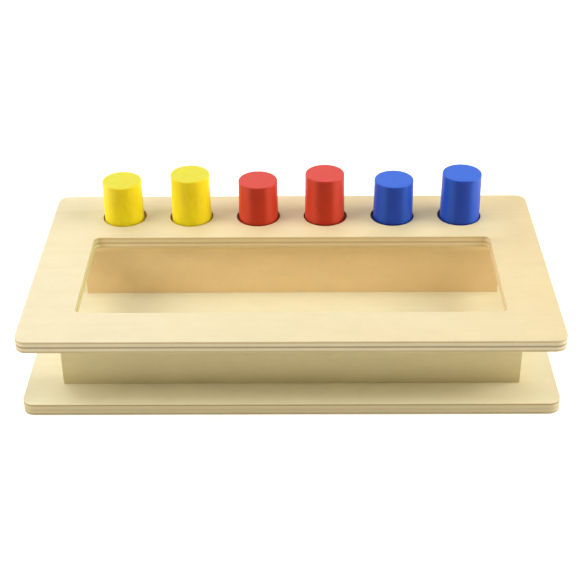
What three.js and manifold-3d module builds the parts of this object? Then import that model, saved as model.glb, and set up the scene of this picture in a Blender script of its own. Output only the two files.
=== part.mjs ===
// Peg drop box: two plywood boards held apart by two rails. The top board has a wide window over
// a tray and a row of six round holes, and six painted pegs stand loosely in the holes.
// Millimetres. +X runs along the box, +Y runs away from the front, +Z is up.
// The origin is the middle of the underside of the base board.

import * as THREE from 'three';
import { mergeVertices } from 'three/addons/utils/BufferGeometryUtils.js';
import Module from 'manifold-3d';

const wasm = await Module();
wasm.setup();

// Boards
const boardLength = 360;
const boardThickness = 8.6;
const boardCornerRadius = 8;
const boardEdgeEasing = 0.7;

// Window over the tray, with the strips of board round it
const windowDepth = 101;
const windowCornerRadius = 4.5;
const windowEndStrip = 35;
const frontStrip = 34.6;
const stripBehindWindow = 16.3;

// Peg holes, with the strip of board behind them
const holeDiameter = 32.6;
const holeRowEndMargin = 54;
const backStrip = 15.5;

// Rails that hold the boards apart, open at both ends
const railHeight = 41.8;
const railThickness = 9;
const railEdgeEasing = 0.4;
const railEndMargin = 25;
const frontRailSetback = 23.5;
const trayLedge = 4;

// Pegs, in pairs of one colour: a short one and a tall one, a little slimmer at the top
const pegFootDiameter = 30.4;
const pegTopDiameter = 29;
const pegRimRadius = 1;
const shortPegLength = 81.4;
const tallPegLength = 86.5;

// Dowels that join the top board to the rails
const dowelDiameter = 6;
const dowelDepthInBoard = 5.2;
const dowelDepthInRail = 12.5;
const dowelFluteDepth = 0.3;
const dowelChamfer = 0.6;
const dowelEndMargin = 30;

// Countersunk screws that join the base board to the rails
const screwLength = 25;
const screwHeadDiameter = 7;
const screwHeadRim = 0.4;
const screwHeadCone = 2.4;
const screwHeadSink = 0.3;
const screwShankDiameter = 2.9;
const screwThreadDiameter = 3.9;
const screwThreadPitch = 2.2;
const screwThreadLength = 15;
const screwTipLength = 3;
const screwEndMargin = 70;
const recessWidth = 3.6;
const recessSlotWidth = 0.9;
const recessDepth = 1.6;
const recessEndWidth = 1.4;

// Clearances and the overrun of cutting tools
const pegRestGap = 0.5;
const jointClearance = 0.12;
const dowelEndGap = 0.3;
const screwTipGap = 0.8;
const cutOverrun = 2;
const weldDistance = 0.001;

// Counts
const dowelsPerRail = 3;
const screwsPerRail = 2;
const dowelFlutes = 12;
const screwThreadTurns = Math.round(screwThreadLength / screwThreadPitch);
const roundSteps = 36;
const holeSteps = 36;
const smallRoundSteps = 14;
const rimSteps = 3;

// Sizes and places that follow from the sizes above
const boardDepth = frontStrip + windowDepth + stripBehindWindow + holeDiameter + backStrip;
const windowLength = boardLength - 2 * windowEndStrip;
const railLength = boardLength - 2 * railEndMargin;
const baseTopZ = boardThickness;
const railTopZ = baseTopZ + railHeight;
const frontEdgeY = -boardDepth / 2;
const windowFrontY = frontEdgeY + frontStrip;
const windowBackY = windowFrontY + windowDepth;
const holeRowY = windowBackY + stripBehindWindow + holeDiameter / 2;
const frontRailY = frontEdgeY + frontRailSetback + railThickness / 2;
const rearRailY = windowBackY + trayLedge + railThickness / 2;
const pegPlay = (holeDiameter - pegFootDiameter) / 2 - pegRestGap;

// Materials
const paleWood = { color: 0xf0e2bb, roughness: 0.62, metalness: 0 };
const railWood = { color: 0xe0c896, roughness: 0.66, metalness: 0 };
const dowelWood = { color: 0xd9b98a, roughness: 0.7, metalness: 0 };
const screwSteel = { color: 0xb9bcc0, roughness: 0.35, metalness: 0.9 };
const yellowPaint = { color: 0xf3d722, roughness: 0.42, metalness: 0 };
const redPaint = { color: 0xc93a32, roughness: 0.42, metalness: 0 };
const bluePaint = { color: 0x2f5fc4, roughness: 0.42, metalness: 0 };

// The row of pegs from left to right. Each loose peg stands a little to one side in its hole,
// by a share of its play.
const pegRow = [
  { name: 'short_yellow_peg', length: shortPegLength, paint: yellowPaint, sideShare: -0.4 },
  { name: 'tall_yellow_peg', length: tallPegLength, paint: yellowPaint, sideShare: 0.4 },
  { name: 'short_red_peg', length: shortPegLength, paint: redPaint, sideShare: 0.3 },
  { name: 'tall_red_peg', length: tallPegLength, paint: redPaint, sideShare: -0.8 },
  { name: 'short_blue_peg', length: shortPegLength, paint: bluePaint, sideShare: 0.9 },
  { name: 'tall_blue_peg', length: tallPegLength, paint: bluePaint, sideShare: 0.5 },
];

function material({ color, roughness, metalness }) {
  return new THREE.MeshStandardMaterial({ color, roughness, metalness });
}

// Booleans
function toSolid(geometry) {
  const bare = geometry.clone();
  bare.deleteAttribute('normal');
  bare.deleteAttribute('uv');
  const merged = mergeVertices(bare, weldDistance);
  return new wasm.Manifold(new wasm.Mesh({
    numProp: 3,
    vertProperties: new Float32Array(merged.attributes.position.array),
    triVerts: new Uint32Array(merged.index.array),
  }));
}

function toGeometry(solid) {
  const mesh = solid.getMesh();
  const geometry = new THREE.BufferGeometry();
  geometry.setAttribute('position', new THREE.BufferAttribute(new Float32Array(mesh.vertProperties), 3));
  geometry.setIndex(new THREE.BufferAttribute(new Uint32Array(mesh.triVerts), 1));
  geometry.computeVertexNormals();
  return geometry;
}

function cut(geometry, tools) {
  let solid = toSolid(geometry);
  for (const tool of tools) {
    solid = solid.subtract(toSolid(tool));
  }
  return toGeometry(solid);
}

// Outlines
function roundedRectangle(path, length, depth, radius, centreY) {
  const x = length / 2;
  const low = centreY - depth / 2;
  const high = centreY + depth / 2;
  path.moveTo(x - radius, low);
  path.absarc(x - radius, low + radius, radius, -Math.PI / 2, 0, false);
  path.absarc(x - radius, high - radius, radius, 0, Math.PI / 2, false);
  path.absarc(-x + radius, high - radius, radius, Math.PI / 2, Math.PI, false);
  path.absarc(-x + radius, low + radius, radius, Math.PI, 3 * Math.PI / 2, false);
  path.closePath();
  return path;
}

function circleOutline(diameter, x, y, steps) {
  const points = [];
  for (let i = 0; i < steps; i += 1) {
    const angle = 2 * Math.PI * i / steps;
    points.push(new THREE.Vector2(x + diameter / 2 * Math.cos(angle), y + diameter / 2 * Math.sin(angle)));
  }
  return new THREE.Path(points);
}

// A flat board whose outer and inner edges are eased, lying from z = 0 up to its thickness
function easedBoard(shape, thickness, easing) {
  const geometry = new THREE.ExtrudeGeometry(shape, {
    depth: thickness - 2 * easing,
    steps: 1,
    bevelEnabled: true,
    bevelThickness: easing,
    bevelSize: easing,
    bevelOffset: -easing,
    bevelSegments: 2,
    curveSegments: 5,
  });
  geometry.translate(0, 0, easing);
  return geometry;
}

// A solid turned about +Z from a profile of [radius, height] pairs that starts and ends on the axis
function turned(profile, steps) {
  const points = profile.map(([radius, height]) => new THREE.Vector2(radius, height));
  const geometry = new THREE.LatheGeometry(points, steps);
  geometry.rotateX(Math.PI / 2);
  return geometry;
}

function cylinderTool(diameter, bottomZ, topZ, x, y) {
  const radius = diameter / 2;
  const tool = turned([[0, bottomZ], [radius, bottomZ], [radius, topZ], [0, topZ]], smallRoundSteps);
  tool.translate(x, y, 0);
  return tool;
}

// Places of a row of fasteners along a rail
function rowAlongRail(count, endMargin) {
  const reach = railLength / 2 - endMargin;
  const places = [];
  for (let i = 0; i < count; i += 1) {
    places.push(-reach + 2 * reach * i / (count - 1));
  }
  return places;
}

// The holes are spread evenly along the board, between equal margins
function holePlaceX(i) {
  const reach = boardLength / 2 - holeRowEndMargin;
  return -reach + 2 * reach * i / (pegRow.length - 1);
}

const dowelPlaces = rowAlongRail(dowelsPerRail, dowelEndMargin);
const screwPlaces = rowAlongRail(screwsPerRail, screwEndMargin);
const rails = [
  { side: 'front', y: frontRailY },
  { side: 'rear', y: rearRailY },
];

// Blind holes for the dowels, between two heights
function dowelHoles(bottomZ, topZ, y) {
  return dowelPlaces.map((x) => cylinderTool(dowelDiameter + 2 * jointClearance, bottomZ, topZ, x, y));
}

// The space that a screw takes in the base board and the rail
function screwHole(x, y) {
  const headRadius = screwHeadDiameter / 2 + jointClearance;
  const threadRadius = screwThreadDiameter / 2 + jointClearance;
  const rimTop = screwHeadSink + screwHeadRim + jointClearance;
  const coneTop = rimTop + screwHeadCone;
  const holeTop = screwHeadSink + screwLength + screwTipGap;
  const hole = turned([
    [0, -cutOverrun],
    [headRadius, -cutOverrun],
    [headRadius, rimTop],
    [threadRadius, coneTop],
    [threadRadius, holeTop],
    [0, holeTop],
  ], smallRoundSteps);
  hole.translate(x, y, 0);
  return hole;
}

function topBoardGeometry() {
  const shape = roundedRectangle(new THREE.Shape(), boardLength, boardDepth, boardCornerRadius, 0);
  const windowY = (windowFrontY + windowBackY) / 2;
  const windowPath = new THREE.Path();
  shape.holes.push(roundedRectangle(windowPath, windowLength, windowDepth, windowCornerRadius, windowY));
  pegRow.forEach((peg, i) => {
    shape.holes.push(circleOutline(holeDiameter, holePlaceX(i), holeRowY, holeSteps));
  });
  const board = easedBoard(shape, boardThickness, boardEdgeEasing);
  const holeTop = dowelDepthInBoard + dowelEndGap;
  return cut(board, rails.flatMap(({ y }) => dowelHoles(-cutOverrun, holeTop, y)));
}

function baseBoardGeometry() {
  const shape = roundedRectangle(new THREE.Shape(), boardLength, boardDepth, boardCornerRadius, 0);
  const board = easedBoard(shape, boardThickness, boardEdgeEasing);
  return cut(board, rails.flatMap(({ y }) => screwPlaces.map((x) => screwHole(x, y))));
}

// A rail stands on its long edge. Its four long arrises are eased, and its ends are cut square.
function railGeometry() {
  const halfThickness = railThickness / 2;
  const e = railEdgeEasing;
  const section = new THREE.Shape([
    new THREE.Vector2(-halfThickness + e, 0),
    new THREE.Vector2(halfThickness - e, 0),
    new THREE.Vector2(halfThickness, e),
    new THREE.Vector2(halfThickness, railHeight - e),
    new THREE.Vector2(halfThickness - e, railHeight),
    new THREE.Vector2(-halfThickness + e, railHeight),
    new THREE.Vector2(-halfThickness, railHeight - e),
    new THREE.Vector2(-halfThickness, e),
  ]);
  const rail = new THREE.ExtrudeGeometry(section, { depth: railLength, steps: 1, bevelEnabled: false });
  rail.translate(0, 0, -railLength / 2);
  rail.rotateX(Math.PI / 2);
  rail.rotateZ(Math.PI / 2);
  const dowelHoleBottom = railHeight - dowelDepthInRail - dowelEndGap;
  const tools = dowelHoles(dowelHoleBottom, railHeight + cutOverrun, 0);
  for (const x of screwPlaces) {
    const hole = screwHole(x, 0);
    hole.translate(0, 0, -baseTopZ);
    tools.push(hole);
  }
  return cut(rail, tools);
}

// The rounded rim at one end of a peg: [radius, distance from the end], from the flat outwards
function pegRim(diameter) {
  const rim = [];
  for (let i = 0; i <= rimSteps; i += 1) {
    const angle = Math.PI / 2 * i / rimSteps;
    const out = pegRimRadius * (1 - Math.sin(angle));
    const along = pegRimRadius * (1 - Math.cos(angle));
    rim.push([diameter / 2 - out, along]);
  }
  return rim;
}

// A peg is turned from round rod, with a slight draft and a rounded rim at both ends
function pegGeometry(length) {
  const foot = pegRim(pegFootDiameter);
  const top = pegRim(pegTopDiameter).map(([radius, along]) => [radius, length - along]);
  return turned([[0, 0], ...foot, ...top.reverse(), [0, length]], roundSteps);
}

// A fluted dowel pin with chamfered ends
function dowelGeometry() {
  const length = dowelDepthInBoard + dowelDepthInRail;
  const points = [];
  for (let i = 0; i < 2 * dowelFlutes; i += 1) {
    const angle = Math.PI * i / dowelFlutes;
    const radius = dowelDiameter / 2 - (i % 2) * dowelFluteDepth;
    points.push(new THREE.Vector2(radius * Math.cos(angle), radius * Math.sin(angle)));
  }
  const geometry = new THREE.ExtrudeGeometry(new THREE.Shape(points), {
    depth: length - 2 * dowelChamfer,
    steps: 1,
    bevelEnabled: true,
    bevelThickness: dowelChamfer,
    bevelSize: dowelChamfer,
    bevelOffset: -dowelChamfer,
    bevelSegments: 1,
  });
  geometry.translate(0, 0, dowelChamfer - dowelDepthInRail);
  return geometry;
}

// A countersunk screw, head down at z = 0 and point up, with its thread as raised rings
function screwGeometry() {
  const headRadius = screwHeadDiameter / 2;
  const shankRadius = screwShankDiameter / 2;
  const threadRadius = screwThreadDiameter / 2;
  const threadTop = screwLength - screwTipLength;
  const profile = [
    [0, 0],
    [headRadius, 0],
    [headRadius, screwHeadRim],
    [shankRadius, screwHeadRim + screwHeadCone],
  ];
  for (let i = 0; i < screwThreadTurns; i += 1) {
    const rootZ = threadTop - (screwThreadTurns - i) * screwThreadPitch;
    profile.push([shankRadius, rootZ]);
    profile.push([threadRadius, rootZ + screwThreadPitch / 2]);
  }
  profile.push([shankRadius, threadTop]);
  profile.push([0, screwLength]);
  return cut(turned(profile, smallRoundSteps), crossRecess());
}

// The cross recess in a screw head: two slots that narrow towards their floor
function crossRecess() {
  return [0, Math.PI / 2].map((angle) => {
    const slot = new THREE.ExtrudeGeometry(new THREE.Shape([
      new THREE.Vector2(-recessWidth / 2, -cutOverrun),
      new THREE.Vector2(recessWidth / 2, -cutOverrun),
      new THREE.Vector2(recessWidth / 2, 0),
      new THREE.Vector2(recessEndWidth / 2, recessDepth),
      new THREE.Vector2(-recessEndWidth / 2, recessDepth),
      new THREE.Vector2(-recessWidth / 2, 0),
    ]), { depth: recessSlotWidth, steps: 1, bevelEnabled: false });
    slot.translate(0, 0, -recessSlotWidth / 2);
    slot.rotateX(Math.PI / 2);
    slot.rotateZ(angle);
    return slot;
  });
}

function place(name, geometry, finish, x, y, z) {
  const mesh = new THREE.Mesh(geometry, material(finish));
  mesh.name = name;
  mesh.position.set(x, y, z);
  return mesh;
}

function boards() {
  const group = new THREE.Group();
  group.add(place('base_board', baseBoardGeometry(), paleWood, 0, 0, 0));
  group.add(place('top_board', topBoardGeometry(), paleWood, 0, 0, railTopZ));
  return group;
}

// One rail with its dowels above and its screws below
function railWithFasteners({ side, y }) {
  const group = new THREE.Group();
  group.add(place(`${side}_rail`, railGeometry(), railWood, 0, y, baseTopZ));
  dowelPlaces.forEach((x, i) => {
    group.add(place(`${side}_dowel_${i + 1}`, dowelGeometry(), dowelWood, x, y, railTopZ));
  });
  screwPlaces.forEach((x, i) => {
    group.add(place(`${side}_screw_${i + 1}`, screwGeometry(), screwSteel, x, y, screwHeadSink));
  });
  return group;
}

// The pegs stand on the base board, each a little forward in its own hole
function pegs() {
  const group = new THREE.Group();
  pegRow.forEach(({ name, length, paint, sideShare }, i) => {
    const side = pegPlay * sideShare;
    const forward = Math.sqrt(pegPlay ** 2 - side ** 2);
    group.add(place(name, pegGeometry(length), paint, holePlaceX(i) + side, holeRowY - forward, baseTopZ));
  });
  return group;
}

const pegDropBox = new THREE.Group();
pegDropBox.add(boards());
rails.forEach((rail) => pegDropBox.add(railWithFasteners(rail)));
pegDropBox.add(pegs());

export default pegDropBox;
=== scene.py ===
# %% [markdown]
# A peg drop box is a toddler's toy: two plywood boards held apart by two rails, a window over a
# shallow tray, and six painted pegs that stand in round holes. This lesson dresses the solid
# model of it for a picture. The model says where each piece is and how big, so the lesson only
# makes the surfaces finer and gives them their wood, paint and light.

# %% Load the solid model
import math

import bmesh
import bpy
from mathutils import Matrix, Vector


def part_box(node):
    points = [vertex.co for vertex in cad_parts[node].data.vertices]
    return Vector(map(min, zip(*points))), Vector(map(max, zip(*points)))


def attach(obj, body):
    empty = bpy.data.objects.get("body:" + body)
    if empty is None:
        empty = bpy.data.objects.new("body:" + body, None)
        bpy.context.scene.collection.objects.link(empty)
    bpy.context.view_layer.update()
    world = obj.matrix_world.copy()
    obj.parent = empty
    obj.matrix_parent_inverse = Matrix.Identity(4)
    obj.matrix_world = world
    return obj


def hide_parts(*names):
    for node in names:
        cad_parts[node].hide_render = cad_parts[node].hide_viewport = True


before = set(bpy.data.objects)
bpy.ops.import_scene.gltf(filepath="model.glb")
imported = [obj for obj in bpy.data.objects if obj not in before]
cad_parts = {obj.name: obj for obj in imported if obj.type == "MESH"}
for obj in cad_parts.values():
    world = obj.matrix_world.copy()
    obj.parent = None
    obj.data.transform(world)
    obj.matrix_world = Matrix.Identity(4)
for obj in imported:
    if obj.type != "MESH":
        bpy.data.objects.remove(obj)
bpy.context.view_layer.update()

MM = 0.001

# %% [markdown]
# Blender's operators act on whatever is selected, and the loaded model comes in selected. So
# every step starts by clearing the selection. In edit mode one would click the faces or edges
# to work on. Here a test on their place or direction picks them instead, and a direction counts
# as straight up where its z is over 0.99.

# %% Helpers for modelling
STRAIGHT = 0.99


def place_of(node):
    """A node's lowest and highest corners in the solid model, and its middle."""
    low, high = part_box(node)
    return low, high, (low + high) / 2


def select_only(piece):
    if bpy.context.mode != "OBJECT":
        bpy.ops.object.mode_set(mode="OBJECT")
    bpy.ops.object.select_all(action="DESELECT")
    if piece:
        piece.select_set(True)
        bpy.context.view_layer.objects.active = piece


def edit(piece, kind, wanted):
    """Opens edit mode with only the faces or edges selected that pass the test."""
    select_only(piece)
    bpy.ops.object.mode_set(mode="EDIT")
    bpy.ops.mesh.select_mode(type=kind)
    bpy.ops.mesh.select_all(action="DESELECT")
    mesh = bmesh.from_edit_mesh(piece.data)
    for part in mesh.edges if kind == "EDGE" else mesh.faces:
        part.select_set(wanted(part))
    bmesh.update_edit_mesh(piece.data)


def finish_edit():
    bpy.ops.object.mode_set(mode="OBJECT")


def upright(edge):
    return abs((edge.verts[0].co - edge.verts[1].co).normalized().z) > STRAIGHT


def looking(direction):
    """A test for flat faces that look straight up, direction 1, or straight down, -1."""
    return lambda face: face.normal.z * direction > STRAIGHT


def named(name):
    """Names the new primitive, and puts its place and size into its mesh."""
    piece = bpy.context.object
    piece.name = piece.data.name = name
    bpy.ops.object.transform_apply(location=True, rotation=True, scale=True)
    return piece


def copied(piece, name, move):
    """A second piece of the same shape, moved along, with a mesh of its own."""
    select_only(piece)
    bpy.ops.object.duplicate(linked=False)
    bpy.ops.transform.translate(value=move)
    return named(name)


def apply_modifier(piece, kind, **settings):
    select_only(piece)
    modifier = piece.modifiers.new(kind.lower(), kind)
    for key, value in settings.items():
        setattr(modifier, key, value)
    bpy.ops.object.modifier_apply(modifier=modifier.name)


# %% [markdown]
# A board or a rail starts as a block. The corner rounding of a board is a bevel of its four
# upright edges, seen from above as quarter circles. A block could also be drawn as a flat
# outline and extruded, but a bevelled block keeps every step a tool that a beginner knows.

# %% A block with rounded upright corners
CORNER_STEPS = 16


def block(name, low, high, corner=0):
    select_only(None)
    bpy.ops.mesh.primitive_cube_add(size=1, location=(low + high) / 2, scale=high - low)
    piece = named(name)
    if corner:
        edit(piece, "EDGE", upright)
        bpy.ops.mesh.bevel(offset=corner, segments=CORNER_STEPS, affect="EDGES")
        finish_edit()
    return piece


# %% [markdown]
# A hole or an opening is made as at the bench: a tool of its shape goes right through the wood
# and takes it away. Here the tool is a second mesh, the Boolean modifier cuts it out, and then
# the tool is thrown away. Deleting faces by hand would leave the opening without walls. A tool
# overruns the wood a little, because two faces in one plane make a poor cut.

# %% Cutting tools
OVERRUN = 5 * MM


def drill(name, radius, low_z, high_z, x, y, steps):
    select_only(None)
    bpy.ops.mesh.primitive_cylinder_add(vertices=steps, radius=radius, depth=high_z - low_z,
                                        location=(x, y, (low_z + high_z) / 2))
    return named(name)


def cut(piece, tool):
    apply_modifier(piece, "BOOLEAN", operation="DIFFERENCE", object=tool, solver="EXACT")
    bpy.data.objects.remove(tool)


# %% [markdown]
# No sanded edge is sharp. A bevel of the edges that turn by more than 40 degrees gives each
# arris its small round, and it catches the thin line of light that the eye reads as real wood.
# Weighted normals keep the wide faces flat beside those rounds.

# %% Ease the sharp edges
EASE_STEPS = 3
EASE_ANGLE = math.radians(40)
SMOOTH_ANGLE = math.radians(35)
FULL_WEIGHT = 100


def ease(piece, width):
    apply_modifier(piece, "BEVEL", width=width, segments=EASE_STEPS, limit_method="ANGLE",
                   angle_limit=EASE_ANGLE, use_clamp_overlap=True)
    select_only(piece)
    bpy.ops.object.shade_smooth_by_angle(angle=SMOOTH_ANGLE)
    apply_modifier(piece, "WEIGHTED_NORMAL", weight=FULL_WEIGHT, keep_sharp=True)
    print(piece.name, "has", len(piece.data.polygons), "faces")


# %% [markdown]
# Three dowels join each rail to the top board, and two screws join it to the base board. None of
# their bores shows once the box is together, but each piece is also kept by itself, so they are
# drilled as a joiner would, a little wider and deeper than the pin. One cylinder spans a whole
# dowel and its end gaps, and the same tool is cut from the board above and the rail below.

# %% Bores for the dowels and screws
JOINT_PLAY = 0.12 * MM
DOWEL_END_GAP = 0.3 * MM
SCREW_TIP_GAP = 0.8 * MM
THREAD_BORE_RADIUS = 1.95 * MM + JOINT_PLAY
JOINT_STEPS = 48
DOWELS = {side: [f"{side}_dowel_{i}" for i in (1, 2, 3)] for side in ("front", "rear")}
SCREWS = {side: [f"{side}_screw_{i}" for i in (1, 2)] for side in ("front", "rear")}


def bore_dowels(piece, dowels):
    for dowel in dowels:
        low, high, middle = place_of(dowel)
        radius = (high.x - low.x) / 2 + JOINT_PLAY
        cut(piece, drill("dowel_tool", radius, low.z - DOWEL_END_GAP, high.z + DOWEL_END_GAP,
                         middle.x, middle.y, JOINT_STEPS))
    print(piece.name, "is bored for", len(dowels), "dowels")


def bore_screws(piece, screws, low_z):
    for screw in screws:
        low, high, middle = place_of(screw)
        cut(piece, drill("screw_tool", THREAD_BORE_RADIUS, low_z, high.z + SCREW_TIP_GAP,
                         middle.x, middle.y, JOINT_STEPS))
    print(piece.name, "is bored for", len(screws), "screws")


# %% [markdown]
# The top board is the main piece: plywood 8.6 mm thick, with a wide window and six peg holes.
# The window and holes are cut right out of the block, as a router would, so each has a true
# wall whose plywood layers can show. The board's place comes from the solid model, and the
# openings are set off from its edges by the same margins as there.

# %% The top board
BOARD_CORNER = 8 * MM
BOARD_EASING = 0.7 * MM
WINDOW_CORNER = 4.5 * MM
WINDOW_END_STRIP = 35 * MM
WINDOW_FRONT_STRIP = 34.6 * MM
WINDOW_DEPTH = 101 * MM
HOLE_RADIUS = 16.3 * MM
HOLE_ROW_END_MARGIN = 54 * MM
HOLE_ROW_BACK_MARGIN = 31.8 * MM
HOLE_STEPS = 96
PEGS = ["short_yellow_peg", "tall_yellow_peg", "short_red_peg",
        "tall_red_peg", "short_blue_peg", "tall_blue_peg"]

top_low, top_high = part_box("top_board")
past = Vector((0, 0, OVERRUN))
window_low = Vector((top_low.x + WINDOW_END_STRIP, top_low.y + WINDOW_FRONT_STRIP, top_low.z))
window_high = Vector((top_high.x - WINDOW_END_STRIP, window_low.y + WINDOW_DEPTH, top_high.z))
hole_reach = top_high.x - HOLE_ROW_END_MARGIN
hole_y = top_high.y - HOLE_ROW_BACK_MARGIN

top_board = block("top_panel", top_low, top_high, BOARD_CORNER)
cut(top_board, block("window_tool", window_low - past, window_high + past, WINDOW_CORNER))
for i in range(len(PEGS)):
    hole_x = -hole_reach + 2 * hole_reach * i / (len(PEGS) - 1)
    cut(top_board, drill("hole_tool", HOLE_RADIUS, top_low.z - OVERRUN, top_high.z + OVERRUN,
                         hole_x, hole_y, HOLE_STEPS))
bore_dowels(top_board, DOWELS["front"] + DOWELS["rear"])
ease(top_board, BOARD_EASING)
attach(top_board, "box")
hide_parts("top_board")

# %% [markdown]
# The base board is the same size, plain above and countersunk below for its screws. A
# countersink starts as a cone, and its two ends are extruded into the screw's clearance hole
# and into the mouth that the drill leaves.

# %% The base board
HEAD_BORE_RADIUS = 3.5 * MM + JOINT_PLAY
CONE_LOW = 0.82 * MM
CONE_DEPTH = 2.4 * MM


def countersink(x, y, through):
    select_only(None)
    middle = (x, y, CONE_LOW + CONE_DEPTH / 2)
    bpy.ops.mesh.primitive_cone_add(vertices=JOINT_STEPS, radius1=HEAD_BORE_RADIUS,
                                    radius2=THREAD_BORE_RADIUS, depth=CONE_DEPTH, location=middle)
    tool = named("countersink_tool")
    for direction, travel in ((-1, -OVERRUN), (1, through)):
        edit(tool, "FACE", looking(direction))
        bpy.ops.mesh.extrude_region_move(TRANSFORM_OT_translate={"value": (0, 0, travel)})
        finish_edit()
    return tool


base_low, base_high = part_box("base_board")
base_board = block("base_panel", base_low, base_high, BOARD_CORNER)
for screw in SCREWS["front"] + SCREWS["rear"]:
    screw_middle = place_of(screw)[2]
    cut(base_board, countersink(screw_middle.x, screw_middle.y, base_high.z))
ease(base_board, BOARD_EASING)
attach(base_board, "box")
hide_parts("base_board")

# %% [markdown]
# The rails are plywood strips on edge, both cut and bored alike, so the second is a copy of the
# first. Their ends are square and barely eased, and the tray between them is open at both ends.

# %% The rails
RAIL_EASING = 0.4 * MM

front_rail_low, front_rail_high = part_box("front_rail")
rear_rail_low, rear_rail_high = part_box("rear_rail")
front_rail = block("front_rail_panel", front_rail_low, front_rail_high)
bore_dowels(front_rail, DOWELS["front"])
bore_screws(front_rail, SCREWS["front"], front_rail_low.z - OVERRUN)
ease(front_rail, RAIL_EASING)
rear_rail = copied(front_rail, "rear_rail_panel", rear_rail_low - front_rail_low)
for piece, node in ((front_rail, "front_rail"), (rear_rail, "rear_rail")):
    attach(piece, "box")
    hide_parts(node)
print("the rails stand", round((rear_rail_low.y - front_rail_high.y) / MM, 1), "mm apart")

# %% [markdown]
# The pegs are turned from round rod and painted. Each starts as a cylinder. Its top face is
# drawn in a little, because these pegs are slimmer at the top, and the two rims are bevelled
# round. The end faces are inset and dished by a hair, as paint leaves them. A short and a tall
# peg are made, and the other pairs are copies of them.

# %% The pegs
PEG_STEPS = 96
PEG_DRAFT = 29 / 30.4
PEG_RIM = 1 * MM
PEG_RIM_STEPS = 5
PEG_FACE_INSET = 2 * MM
PEG_DISH = 0.08 * MM
PEG_HEIGHTS = 2


def turned_peg(name, low, high):
    middle = (low + high) / 2
    select_only(None)
    bpy.ops.mesh.primitive_cylinder_add(vertices=PEG_STEPS, radius=(high.x - low.x) / 2,
                                        depth=high.z - low.z, location=middle)
    piece = named(name)
    edit(piece, "FACE", looking(1))
    bpy.ops.transform.resize(value=(PEG_DRAFT, PEG_DRAFT, 1), center_override=middle)
    edit(piece, "EDGE", lambda edge: abs(edge.verts[0].co.z - edge.verts[1].co.z) < PEG_RIM)
    bpy.ops.mesh.bevel(offset=PEG_RIM, segments=PEG_RIM_STEPS, affect="EDGES")
    for direction in (-1, 1):
        edit(piece, "FACE", looking(direction))
        bpy.ops.mesh.inset(thickness=PEG_FACE_INSET)
        bpy.ops.transform.translate(value=(0, 0, -PEG_DISH * direction))
    select_only(piece)
    bpy.ops.object.shade_smooth_by_angle(angle=SMOOTH_ANGLE)
    return piece


pegs = []
for i, node in enumerate(PEGS):
    low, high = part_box(node)
    name = f"{node}_turned"
    if i < PEG_HEIGHTS:
        piece = turned_peg(name, low, high)
    else:
        piece = copied(pegs[i - PEG_HEIGHTS], name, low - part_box(PEGS[i - PEG_HEIGHTS])[0])
    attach(piece, node)
    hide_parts(node)
    node.split("_")[1] + "_paint"
    pegs.append(piece)
    print(node, "stands", round((high.z - top_high.z) / MM, 1), "mm above the top board")

# %% [markdown]
# A colour is easiest to read as three numbers from 0 to 255, as a paint chart or an image
# editor gives it. Those numbers are spaced for the eye, but a shader counts light, so each one
# is turned into its share of the light first.

# %% Colours
def paint_chip(red, green, blue):
    """A colour as a paint chart gives it, from 0 to 255, turned into light."""
    def light(part):
        share = part / 255
        return share / 12.92 if share <= 0.04045 else ((share + 0.055) / 1.055) ** 2.4
    return (light(red), light(green), light(blue), 1)


def tinted(colour, share):
    """The colour made lighter (share above 1) or darker."""
    return tuple(min(1, part * share) for part in colour[:3]) + (1,)


def grey(light):
    return (light, light, light, 1)


WHITE = grey(1)
print("half way up the chart is", round(paint_chip(128, 128, 128)[0], 2), "of the light")

# %% [markdown]
# Materials are graphs of nodes. Written as Python, a mask such as 1 - edge is easier to read
# than a chain of boxes, so a small class wraps a node's output and turns each operator into a
# Math node. Everything else comes from one method that makes any node.

# %% A small language for shaders
class Value:
    """A number or colour that changes over a surface: one output of a shader node."""

    def __init__(self, finish, socket):
        self.finish = finish
        self.socket = socket

    def maths(self, operation, *terms):
        return self.finish.node("ShaderNodeMath", {"operation": operation}, dict(enumerate(terms)))

    def __add__(self, other):
        return self.maths("ADD", self, other)

    def __radd__(self, other):
        return self.maths("ADD", other, self)

    def __sub__(self, other):
        return self.maths("SUBTRACT", self, other)

    def __rsub__(self, other):
        return self.maths("SUBTRACT", other, self)

    def __mul__(self, other):
        return self.maths("MULTIPLY", self, other)

    def __rmul__(self, other):
        return self.maths("MULTIPLY", other, self)

    def __truediv__(self, other):
        return self.maths("DIVIDE", self, other)

    def __rtruediv__(self, other):
        return self.maths("DIVIDE", other, self)

    def __pow__(self, other):
        return self.maths("POWER", self, other)

    def __rpow__(self, other):
        return self.maths("POWER", other, self)

    def __abs__(self):
        return self.maths("ABSOLUTE", self)

    def wave(self):
        """Swings from 0 to 1 and back, once for every 2 pi."""
        return 0.5 + 0.5 * self.maths("SINE", self)

    def step(self, low, high):
        """Rises smoothly from 0 at low to 1 at high, or falls where low is the larger."""
        return self.finish.node("ShaderNodeMapRange", {"interpolation_type": "SMOOTHSTEP"},
                                {"Value": self, "From Min": low, "From Max": high})

    def between(self, rise, fall):
        """A mask that rises over the first pair of places and falls over the second."""
        return self.step(*rise) * self.step(*fall)


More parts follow.
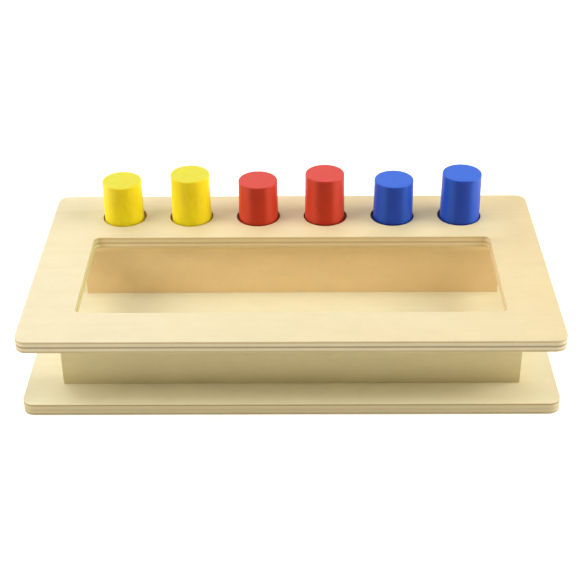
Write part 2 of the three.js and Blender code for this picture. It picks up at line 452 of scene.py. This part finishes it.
class Finish:
    """A material whose nodes are made in Python. Sizes in it are in millimetres."""

    def __init__(self, name):
        self.material = bpy.data.materials.new(name)
        self.material.use_nodes = True
        self.tree = self.material.node_tree
        self.shader = self.tree.nodes["Principled BSDF"]
        place = self.node("ShaderNodeTexCoord", {}, {}, "Object")
        normal = self.node("ShaderNodeTexCoord", {}, {}, "Normal")
        self.place = self.node("ShaderNodeVectorMath", {"operation": "SCALE"},
                               {0: place, "Scale": 1 / MM})
        self.x, self.y, self.z = self.parts(self.place)
        self.across, self.away, self.up = self.parts(normal)

    def node(self, kind, settings, inputs, output=0):
        """Makes any node from its type, its settings and what its sockets get."""
        made = self.tree.nodes.new(kind)
        for key, value in settings.items():
            if key == "stops":
                self.set_stops(made.color_ramp, value)
            else:
                setattr(made, key, value)
        for key, value in inputs.items():
            self.feed(made.inputs[key], value)
        return Value(self, made.outputs[output])

    def feed(self, socket, value):
        if isinstance(value, Value):
            self.tree.links.new(value.socket, socket)
        else:
            socket.default_value = value

    def set_stops(self, ramp, stops):
        while len(ramp.elements) < len(stops):
            ramp.elements.new(1)
        for element, (place, colour) in zip(ramp.elements, stops):
            element.position = place
            element.color = colour

    def parts(self, vector):
        return [self.node("ShaderNodeSeparateXYZ", {}, {0: vector}, axis) for axis in "XYZ"]

    def noise(self, size, detail=3, roughness=0.5, shift=0):
        """Noise from 0 to 1 whose blotches measure about size = (x, y, z) millimetres. A
        shift moves it, so that two pieces don't look alike."""
        scale = [1 / side for side in size]
        place = self.node("ShaderNodeMapping", {}, {"Vector": self.place, "Scale": scale,
                                                    "Location": (shift, shift * 2, shift * 3)})
        return self.node("ShaderNodeTexNoise", {}, {"Vector": place, "Scale": 1, "Detail": detail,
                                                    "Roughness": roughness})

    def blend(self, share, first, second):
        """A colour that turns from the first to the second as share goes from 0 to 1."""
        return self.node("ShaderNodeMix", {"data_type": "RGBA"}, {0: share, 6: first, 7: second}, 2)

    def ramp(self, share, stops):
        return self.node("ShaderNodeValToRGB", {"stops": stops}, {0: share})

    def wear(self, colour, roughness, height=None, depth=0, coat=None):
        """Connects the shader. Where height is given, depth is its relief in millimetres."""
        self.feed(self.shader.inputs["Base Color"], colour)
        self.feed(self.shader.inputs["Roughness"], roughness)
        if coat is not None:
            self.feed(self.shader.inputs["Coat Weight"], coat)
        if height is not None:
            bump = self.node("ShaderNodeBump", {}, {"Height": height, "Strength": 1,
                                                    "Distance": depth * MM})
            self.feed(self.shader.inputs["Normal"], bump)

    def constants(self, **sockets):
        """Sets the shader's own sockets, coat_roughness for Coat Roughness and so on."""
        for key, value in sockets.items():
            title = key.replace("_", " ").title().replace("Ior", "IOR")
            self.shader.inputs[title].default_value = value

    def on(self, piece):
        piece.data.materials.clear()
        piece.data.materials.append(self.material)
        print(self.material.name, "has", len(self.tree.nodes), "nodes")


# %% [markdown]
# Plywood is thin sheets of wood glued with their grain crossed. On the wide faces only the
# pale outer veneer shows, with soft streaks along the board. On the edges the sheets show as
# bands: a thin pale veneer, a dark line of glue, a thick middle sheet, and a dark core. The
# bands could be separate strips of mesh, but a solid pattern that runs through the whole piece
# gives them on every edge, the window and the holes alike. Here they are the stops of a colour
# ramp that runs from one wide face of the piece, 0, to the other, 1. The base board is cut from
# other plywood, whose upper glue line lies nearer to the face.

# %% The sheets of the plywood
SHEETS = ((0.000, "low"), (0.140, "low"), (0.200, "sheet"), (0.370, "sheet"), (0.425, "core"),
          (0.530, "core"), (0.585, "sheet"), (0.810, "sheet"), (0.845, "glue"), (0.900, "glue"),
          (0.935, "veneer"))
BASE_SHEETS = SHEETS[:-3] + ((0.855, "glue"), (0.945, "glue"), (0.985, "veneer"))
SHEET_WANDER = 0.03

BIRCH = {
    "veneer": paint_chip(206, 195, 160), "warm": paint_chip(205, 184, 136),
    "sheet": paint_chip(216, 199, 160), "glue": paint_chip(190, 157, 100),
    "core": paint_chip(160, 139, 98), "low": paint_chip(190, 168, 120),
    "arris": paint_chip(226, 210, 162), "lit_wall": paint_chip(255, 226, 166),
    "shaded_wall": paint_chip(196, 198, 107), "scorch_and_shade_chip": paint_chip(150, 110, 50),
    "yellow_rub": paint_chip(190, 150, 0), "red_rub": paint_chip(150, 20, 0),
    "blue_rub": paint_chip(0, 30, 110)}
BASE_BIRCH = dict(BIRCH, veneer=paint_chip(222, 214, 178), warm=paint_chip(221, 202, 150),
                  sheet=paint_chip(200, 185, 139), glue=paint_chip(165, 136, 82),
                  core=paint_chip(192, 172, 128), low=paint_chip(177, 157, 108),
                  arris=paint_chip(208, 184, 134))
print("the ramp has", len(SHEETS), "stops")

# %% [markdown]
# A noise that is long in the direction of the grain makes streaks where the wood is cut along
# and dots across it. Each kind of mark has its own size in millimetres, along the board, away
# from the eye and upwards: fine grain, wide streaks, the wavy figure of a peeled veneer, cloudy
# patches, dark pores and a sandy fleck. Each darkens the wood by a few hundredths of the way to
# the core's colour. More would look like a pattern printed on it.

# %% Marks in the wood
VENEER_GRAIN = (70, 1.2, 1.2)
SHEET_GRAIN = (1.2, 26, 1.2)
STREAK = (160, 9, 9)
FIGURE = (240, 24, 24)
FIGURE_WAVES = 50
CLOUD = (18, 12, 12)
PORE = (5, 0.45, 0.45)
FLECK = (1.6, 1.6, 1.6)
DRIFT = (150, 60, 60)
RIPPLE = (40, 40, 40)

NOISE_RANGE = (0.3, 0.7)
GRAIN_RANGE = (0.3, 0.75)
STREAK_RANGE = (0.45, 0.75)
PORE_RANGE = (0.66, 0.76)
DARKENING = {"streak": 0.05, "figure": 0.02, "grain": 0.04, "pore": 0.06, "cloud": 0.07,
             "fleck": 0.05}
print("together they darken it by at most", round(sum(DARKENING.values()), 2))

# %% [markdown]
# Round the top board's openings its colour changes. The window's walls carry painted light: the
# wall at the window's left end is painted darker and olive, the others lighter and warmer. The
# holes' walls and rims are darkened: partly drill scorch and the pegs' rubbed paint, partly
# painted shade in the hole and along its rim. The top face between the window and the pegs is
# painted paler, a painted light over the shade round the pegs. Each of these is a mask: a
# product of steps along x and y, in millimetres, that is 1 inside a region of the board and 0
# outside it.

# %% Wear and painted light round the openings
HOLE_MARK_REACH = 1.2 * HOLE_RADIUS / MM
SCORCH_AND_SHADE_SHARE = 0.97
RED_HOLES_FROM = (-52, -48)
BLUE_HOLES_FROM = (48, 52)
RUBBED_SHARE = 0.6
WINDOW_FRONT = (-90, -80)
WINDOW_ENDS = (170, 160)
WALL_LIGHT_SHARE = 0.35
LIT_PATCH_X = ((-150, -30), (170, 135))
LIT_PATCH_Y = ((30, 38), (80, 50))
LIT_PATCH_SHARE = 0.5
FACING_OUT = (0.55, 0.9)


def around_openings(wood, colour, face, woods):
    """The board's colour with these marks and painted light, and how scorched and shaded it is."""
    beside = abs(wood.x)
    row_front = hole_y / MM - HOLE_MARK_REACH
    row_back = hole_y / MM + HOLE_MARK_REACH
    row_end = hole_reach / MM + HOLE_MARK_REACH

    by_window = (wood.y.between(WINDOW_FRONT, (row_front, row_front - 1))
                 * beside.step(*WINDOW_ENDS))
    # Painted light on the window's walls: darker on the wall facing +x, lighter and warmer
    # elsewhere.
    painted_wall_light = wood.blend(wood.across.step(0.2, 0.8), woods["lit_wall"], woods["shaded_wall"])
    colour = wood.blend(WALL_LIGHT_SHARE * by_window * face.step(0.5, 0.1), colour, painted_wall_light)

    by_holes = (wood.y.between((row_front, row_front + 1), (row_back, row_back - 1))
                * beside.step(row_end + 1, row_end))
    rubbed = wood.blend(wood.x.step(*RED_HOLES_FROM), woods["yellow_rub"], woods["red_rub"])
    rubbed = wood.blend(wood.x.step(*BLUE_HOLES_FROM), rubbed, woods["blue_rub"])
    # Partly drill scorch and rubbed paint, partly painted shade: hole walls and rims darkened
    # almost fully.
    scorch_and_shade = by_holes * face.step(0.999, 0.9)
    colour = wood.blend(SCORCH_AND_SHADE_SHARE * scorch_and_shade, colour,
                        wood.blend(RUBBED_SHARE, woods["scorch_and_shade_chip"], rubbed))

    # Painted light: the top face between the window and the pegs is made paler over their shade.
    lit_patch = (wood.up.step(*FACING_OUT) * wood.y.between(*LIT_PATCH_Y)
               * wood.x.between(*LIT_PATCH_X))
    return wood.blend(LIT_PATCH_SHARE * lit_patch, colour, woods["arris"]), scorch_and_shade


# %% [markdown]
# One function makes every plywood in the box. It stacks the sheets through the piece, covers
# its two wide faces with veneer, lays the marks over both, and gives the eased edges that face
# up a colour of their own. On the top board it is paler: a painted highlight, and partly the
# bare wood that sanding leaves. The same marks also give the surface its relief and decide
# how rough it is, so that a pore is dark and deep in the same place.

# %% Plywood
BOARD_SIZE = (top_high - top_low) / MM
DRIFT_RANGE = (0.1, 0.9)
ARRIS = ((0.10, 0.35), (0.98, 0.85))
ARRIS_SHARE = 0.6
PAINTED_LIGHT_FADE = 4
WOOD_RELIEF = 0.05


def plywood(name, axis, low, high, woods, shift, sheets=SHEETS, streaks=1, drift_share=1,
            painted_light_above=None, openings=False):
    """Sheets stacked along one axis, 'y' or 'z', between two places in metres."""
    wood = Finish(name)
    face = abs(wood.up if axis == "z" else wood.away)
    skin = face.step(*FACING_OUT)
    ripple = wood.noise(RIPPLE, detail=2, shift=shift + 5)
    through = (getattr(wood, axis) - low / MM) / ((high - low) / MM)
    stops = [(place, woods[sheet]) for place, sheet in sheets]
    layers = wood.ramp(through + SHEET_WANDER * (ripple - 0.5), stops)

    sweep = 0.45 * (wood.x / BOARD_SIZE.x + 0.5) + 0.25 * (wood.y / BOARD_SIZE.y + 0.5)
    drift = (sweep + 0.3 * wood.noise(DRIFT, detail=2, shift=shift + 3)).step(*DRIFT_RANGE)
    veneer = wood.blend(drift_share * drift, woods["veneer"], woods["warm"])
    # Painted light: the top strip of the rear rail is made paler where the board above shades it.
    if painted_light_above:
        lit_rail_top = wood.z.step(painted_light_above / MM, painted_light_above / MM + PAINTED_LIGHT_FADE)
        veneer = wood.blend(lit_rail_top, veneer, woods["lit_rail_top"])
    colour = wood.blend(skin, layers, veneer)

    along = wood.noise(VENEER_GRAIN, detail=4, roughness=0.6, shift=shift)
    across = wood.noise(SHEET_GRAIN, detail=4, roughness=0.6, shift=shift + 1)
    grain = across + skin * (along - across)
    streak = wood.noise(STREAK, shift=shift + 2).step(*STREAK_RANGE)
    figure = (FIGURE_WAVES * wood.noise(FIGURE, detail=1, shift=shift + 6)).wave()
    cloud = wood.noise(CLOUD, roughness=0.55, shift=shift + 8).step(*NOISE_RANGE)
    pore = wood.noise(PORE, detail=1, shift=shift + 4).step(*PORE_RANGE)
    fleck = wood.noise(FLECK, detail=2, roughness=0.6, shift=shift + 7).step(*NOISE_RANGE)
    lines = (DARKENING["streak"] * streak + DARKENING["figure"] * figure
             + DARKENING["grain"] * grain.step(*GRAIN_RANGE) + DARKENING["pore"] * pore)
    tone = streaks * lines + DARKENING["cloud"] * cloud + DARKENING["fleck"] * fleck
    colour = wood.blend(tone, colour, woods["core"])

    # Painted highlight, partly bare sanded wood: eased edges that face up take the arris colour.
    colour = wood.blend(ARRIS_SHARE * wood.up.between(*ARRIS), colour, woods["arris"])
    scorch_and_shade = 0
    if openings:
        colour, scorch_and_shade = around_openings(wood, colour, face, woods)

    roughness = 0.60 + 0.12 * grain - 0.12 * face + 0.05 * fleck + 0.3 * scorch_and_shade
    wood.wear(colour, roughness, 0.6 * grain - 0.5 * pore + 0.15 * fleck, WOOD_RELIEF)
    wood.constants(coat_weight=0.1, coat_roughness=0.35, specular_ior_level=0.4)
    return wood


plywood("top_board_ply", "z", top_low.z, top_high.z, BIRCH, 0, openings=True).on(top_board)
plywood("base_board_ply", "z", base_low.z, base_high.z, BASE_BIRCH, 40, BASE_SHEETS,
        drift_share=0.3).on(base_board)

# %% [markdown]
# The rails come from a third plywood, a little browner, with its sheets standing upright. Their
# faces show a fine sandy fleck and few streaks. The rear one is the tan wall behind the window.
# Its veneer is painted lighter than the front rail's, as painted light, and a strip right under
# the board is painted paler still, a painted light where the board shades it.

# %% The rails' plywood
FRONT_RAIL_BIRCH = dict(BIRCH, veneer=paint_chip(222, 205, 151), warm=paint_chip(220, 203, 147))
# The rear rail's veneer is painted lighter than the front rail's: painted light.
REAR_RAIL_LIT_BIRCH = dict(BIRCH, veneer=paint_chip(240, 211, 157), warm=paint_chip(239, 208, 152),
                       lit_rail_top=paint_chip(255, 230, 176))
PAINTED_LIGHT_STRIP = 7 * MM
plywood("front_rail_ply", "y", front_rail_low.y, front_rail_high.y, FRONT_RAIL_BIRCH, 80,
        streaks=0.4).on(front_rail)
plywood("rear_rail_ply", "y", rear_rail_low.y, rear_rail_high.y, REAR_RAIL_LIT_BIRCH, 120,
        streaks=0.4, painted_light_above=rear_rail_high.z - PAINTED_LIGHT_STRIP).on(rear_rail)

# %% [markdown]
# The pegs carry a satin water paint. It is thin, so the wood's long fibres still show as fine
# upright ridges on the side, and the end faces drink more paint and dry rougher and less
# glossy. The end faces' colour is greyer than the side's: a painted reflection of the bright
# room. Painted light and shade run over the side: darker towards the top and towards the front
# and back, with a painted highlight in a broad band down each flank. Handling pales the rims,
# and a painted shade makes a faint dark line round the peg where it stands in the hole. Each
# mask is worked out from the peg's own middle, its top or the top board, so the same function
# fits every peg.

# %% Peg paint
FIBRE = (1.2, 1.2, 16)
PIT = (0.8, 0.8, 0.8)
MOTTLE = (6, 6, 9)
RIM_ACROSS = (-1.5, -0.5)
RIM_DOWN = (-1.4, -0.4)
FLANK_HIGHLIGHT_BAND = ((0.25, 0.55), (1.0, 0.65))
FLANK_HIGHLIGHT_SHARE = 0.3
HOLE_SHADE_LINE = ((-1.8, -0.9), (1, 0.2))
PAINTED_LIGHT_TINT = 1.22
PAINTED_SHADE_TINT = 0.78
HOLE_SHADE_TINT = 0.2
PAINT_RELIEF = 0.08


def peg_paint(node, paints, shift):
    low, high, middle = place_of(node)
    paint = Finish(f"{node}_paint")
    aside = paint.x - middle.x / MM
    away = paint.y - middle.y / MM
    rim_radius = (high.x - low.x) / 2 * PEG_DRAFT / MM
    from_rim = (aside * aside + away * away) ** 0.5 - rim_radius
    from_top = paint.z - high.z / MM
    from_board = paint.z - top_high.z / MM
    flank = abs(paint.across)
    end = abs(paint.up).step(0.6, 0.95)

    fibre = paint.noise(FIBRE, roughness=0.6, shift=shift)
    pit = paint.noise(PIT, detail=2, roughness=0.6, shift=shift + 1)
    mottle = paint.noise(MOTTLE, roughness=0.6, shift=shift + 2)
    grain = fibre + end * (pit - fibre)
    tone = (0.45 * mottle.step(*NOISE_RANGE) + 0.3 * grain.step(*NOISE_RANGE)
            + 0.25 * pit.step(*NOISE_RANGE))

    # Painted shade: the side is darker towards the top and towards the front and back.
    peg_painted_shade = 0.5 * from_board.step(-2, (high.z - top_high.z) / MM) + 0.5 * flank.step(0.95, 0.3)
    side = paint.blend(peg_painted_shade + 0.4 * (tone - 0.5), tinted(paints["side"], PAINTED_LIGHT_TINT),
                       tinted(paints["side"], PAINTED_SHADE_TINT))
    # Painted highlight in a broad band down each flank.
    side = paint.blend(FLANK_HIGHLIGHT_SHARE * flank.between(*FLANK_HIGHLIGHT_BAND), side, paints["flank"])
    # Painted shade: a faint dark line round the peg where it enters the hole.
    side = paint.blend(paints["hole_shade"] * from_board.between(*HOLE_SHADE_LINE), side,
                       tinted(paints["side"], HOLE_SHADE_TINT))
    # The end colour carries a painted reflection of the bright room: greyer than the side.
    flat = paint.blend(tone, tinted(paints["end"], 0.95), tinted(paints["end"], 1.04))
    rim = from_rim.step(*RIM_ACROSS) * from_top.step(*RIM_DOWN)
    worn = rim * paint.up.step(0.5, 0.8) * (0.3 + 0.7 * pit)
    colour = paint.blend(worn, paint.blend(end, side, flat), tinted(paints["end"], 1.1))

    paint.wear(colour, 0.40 + 0.12 * grain + 0.06 * end, grain + 0.4 * mottle, PAINT_RELIEF,
               coat=0.12 - 0.07 * end)
    paint.constants(coat_roughness=0.3, specular_ior_level=0.3)
    return paint


# %% [markdown]
# Each paint has a colour for the side, one for the end faces, greyer with a painted
# reflection, a paler one for the flanks' painted highlight, and how strongly its line of
# painted shade shows at the hole. The noise is shifted from peg to peg.

# %% The pegs' colours
PEG_SHIFT = 7
PAINTS = {
    "yellow": {"side": paint_chip(249, 217, 1), "end": paint_chip(197, 187, 22),
               "flank": paint_chip(255, 224, 20), "hole_shade": 0.1},
    "red": {"side": paint_chip(192, 41, 9), "end": paint_chip(187, 48, 33),
            "flank": paint_chip(236, 88, 56), "hole_shade": 0.45},
    "blue": {"side": paint_chip(8, 64, 177), "end": paint_chip(24, 82, 182),
             "flank": paint_chip(45, 107, 212), "hole_shade": 0.5}}
for i, node in enumerate(PEGS):
    peg_paint(node, PAINTS[node.split("_")[1]], PEG_SHIFT * i).on(pegs[i])

# %% [markdown]
# The dowels are bare beech and hide in their holes. The screws show only from below: zinc
# plated steel, brushed by the tumbling that cleans them. Both keep the solid model's shapes,
# which are fine enough, and only their material slots are filled.

# %% Dowels and screws
BEECH_FIBRE = (0.8, 0.8, 14)
BEECH_FLECK = (0.5, 0.5, 3)
BEECH_RELIEF = 0.06
ZINC_CLOUD = (2, 2, 2)
ZINC_SCRATCH = (4, 0.15, 0.15)
ZINC_RELIEF = 0.01


def beech():
    wood = Finish("dowel_beech")
    fibre = wood.noise(BEECH_FIBRE, roughness=0.6)
    fleck = wood.noise(BEECH_FLECK, detail=1, shift=5).step(0.6, 0.7)
    colour = wood.blend(0.6 * fibre + 0.3 * fleck, paint_chip(222, 184, 138),
                        paint_chip(176, 128, 84))
    wood.wear(colour, 0.6 + 0.15 * fibre, fibre, BEECH_RELIEF)
    return wood


def zinc():
    steel = Finish("zinc_plate")
    cloud = steel.noise(ZINC_CLOUD, roughness=0.6)
    scratch = steel.noise(ZINC_SCRATCH, detail=2, shift=3)
    colour = steel.blend(cloud, paint_chip(186, 190, 198), paint_chip(214, 214, 208))
    steel.wear(colour, 0.28 + 0.18 * scratch, scratch, ZINC_RELIEF)
    steel.constants(metallic=1)
    return steel


def in_slots(finish, word):
    nodes = [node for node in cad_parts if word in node]
    for node in nodes:
        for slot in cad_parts[node].material_slots:
            slot.material = finish.material
    print(finish.material.name, "is on", len(nodes), "nodes")


in_slots(beech(), "dowel")
in_slots(zinc(), "screw")

# %% [markdown]
# The box stands on a pale paper table, which glows a little of its own, as an overexposed one
# does. Far from the box it glows to white, and a white wall stands round it, so that the view
# from each side has a pale backdrop. Only the camera sees the wall. If it lit the box too, it
# would wash out the shading that the lamps give.

# %% Table and backdrop
TABLE_SIZE = 8
TABLE_DROP = 0.1 * MM
TABLE_PAPER = (grey(0.90), grey(0.92))
TABLE_GLOW = 0.22
GLOW_RISE = (900, 2000)
WALL_RADIUS = 3.9
WALL_HEIGHT = 4
WALL_STEPS = 64


def pale_table():
    select_only(None)
    bpy.ops.mesh.primitive_plane_add(size=TABLE_SIZE, location=(0, 0, -TABLE_DROP))
    table = named("pale_table")
    cover = Finish("table_paper")
    speck = cover.noise((30, 30, 30), detail=4, roughness=0.6)
    cover.wear(cover.blend(speck, *TABLE_PAPER), 0.85 + 0.05 * speck)
    distance = (cover.x * cover.x + cover.y * cover.y) ** 0.5
    glow = cover.blend(distance.step(*GLOW_RISE), grey(TABLE_GLOW), WHITE)
    cover.feed(cover.shader.inputs["Emission Color"], glow)
    cover.constants(emission_strength=1)
    cover.on(table)


def white_wall():
    select_only(None)
    bpy.ops.mesh.primitive_cylinder_add(vertices=WALL_STEPS, radius=WALL_RADIUS,
                                        depth=WALL_HEIGHT, end_fill_type="NOTHING",
                                        location=(0, 0, WALL_HEIGHT / 2))
    wall = named("white_wall")
    paper = Finish("wall_paper")
    paper.constants(base_color=grey(0), emission_color=WHITE, emission_strength=1)
    paper.on(wall)
    for kind in ("diffuse", "glossy", "transmission", "volume_scatter", "shadow"):
        setattr(wall, f"visible_{kind}", False)


pale_table()
white_wall()

# %% [markdown]
# Large soft lights stand round the table. Their strengths are set by comparing faces that look
# different ways: the wide faces tell how strong the lights above are, the two flanks of the
# pegs tell left from right, and the tray, which is shaded under the strips of the top board
# beside the window, tells how steeply the side lights come down. Each line below gives a
# light's place and its two sides in metres, and its power in watts.

# %% Lights
AIM = Vector((0, 0, 0.05))
SOFT_BOXES = {
    "small_top": ((0, -0.1, 1.6), (0.5, 0.5), 6.0),
    "left_low": ((-1.3, 0, 0.5), (1.0, 0.8), 1.5),
    "right_low": ((1.3, 0, 0.5), (1.0, 0.8), 11.0),
    "left_high": ((-1.1, 0, 1.1), (0.8, 0.8), 6.3),
    "right_high": ((1.1, 0, 1.1), (0.8, 0.8), 10.3),
    "left_mid": ((-1.0, -0.47, 0.77), (0.6, 0.6), 6.7),
    "right_mid": ((1.0, -0.47, 0.77), (0.6, 0.6), 2.9),
    "left_back": ((-0.9, 0.9, 0.8), (0.7, 0.7), 7.6),
    "back": ((0, 1.1, 0.9), (1.2, 0.6), 6.9)}
SKY_STRENGTH = 0.02


def soft_box(name, place, size, power):
    data = bpy.data.lights.new(name, "AREA")
    data.shape = "RECTANGLE"
    data.size, data.size_y = size
    data.energy = power
    lamp = bpy.data.objects.new(name, data)
    bpy.context.scene.collection.objects.link(lamp)
    lamp.location = place
    lamp.rotation_euler = (AIM - Vector(place)).to_track_quat("-Z", "Y").to_euler()


for name, (place, size, power) in SOFT_BOXES.items():
    soft_box(name, place, size, power)
print(len(SOFT_BOXES), "soft boxes, together", sum(box[2] for box in SOFT_BOXES.values()), "watts")

world = bpy.data.worlds.new("studio")
bpy.context.scene.world = world
world.use_nodes = True
sky = world.node_tree.nodes["Background"].inputs
sky["Color"].default_value = WHITE
sky["Strength"].default_value = SKY_STRENGTH
bpy.context.scene.view_settings.view_transform = "Standard"

# %% [markdown]
# The camera stands where the photograph was taken from, worked out from the directions of the
# boards' edges: a long lens, above and in front, looking down at about 32 degrees.

# %% Camera
CAMERA_PLACE = (0.0076, -0.7841, 0.5278)
CAMERA_DOWN = math.radians(32.12)
CAMERA_TURN = math.radians(0.637)
CAMERA_ROLL = math.radians(-0.533)
PICTURE_WIDTH = 580
FOCAL_PIXELS = 1285
FILM_WIDTH = 36

camera_data = bpy.data.cameras.new("camera")
camera_data.sensor_width = FILM_WIDTH
camera_data.lens = FOCAL_PIXELS / PICTURE_WIDTH * FILM_WIDTH
camera = bpy.data.objects.new("camera", camera_data)
bpy.context.scene.collection.objects.link(camera)
turn = Matrix.Rotation(CAMERA_TURN, 4, "Z")
tilt = Matrix.Rotation(math.pi / 2 - CAMERA_DOWN, 4, "X")
roll = Matrix.Rotation(CAMERA_ROLL, 4, "Z")
camera.matrix_world = Matrix.Translation(CAMERA_PLACE) @ turn @ tilt @ roll
bpy.context.scene.camera = camera
print("lens", round(camera_data.lens, 1), "mm")
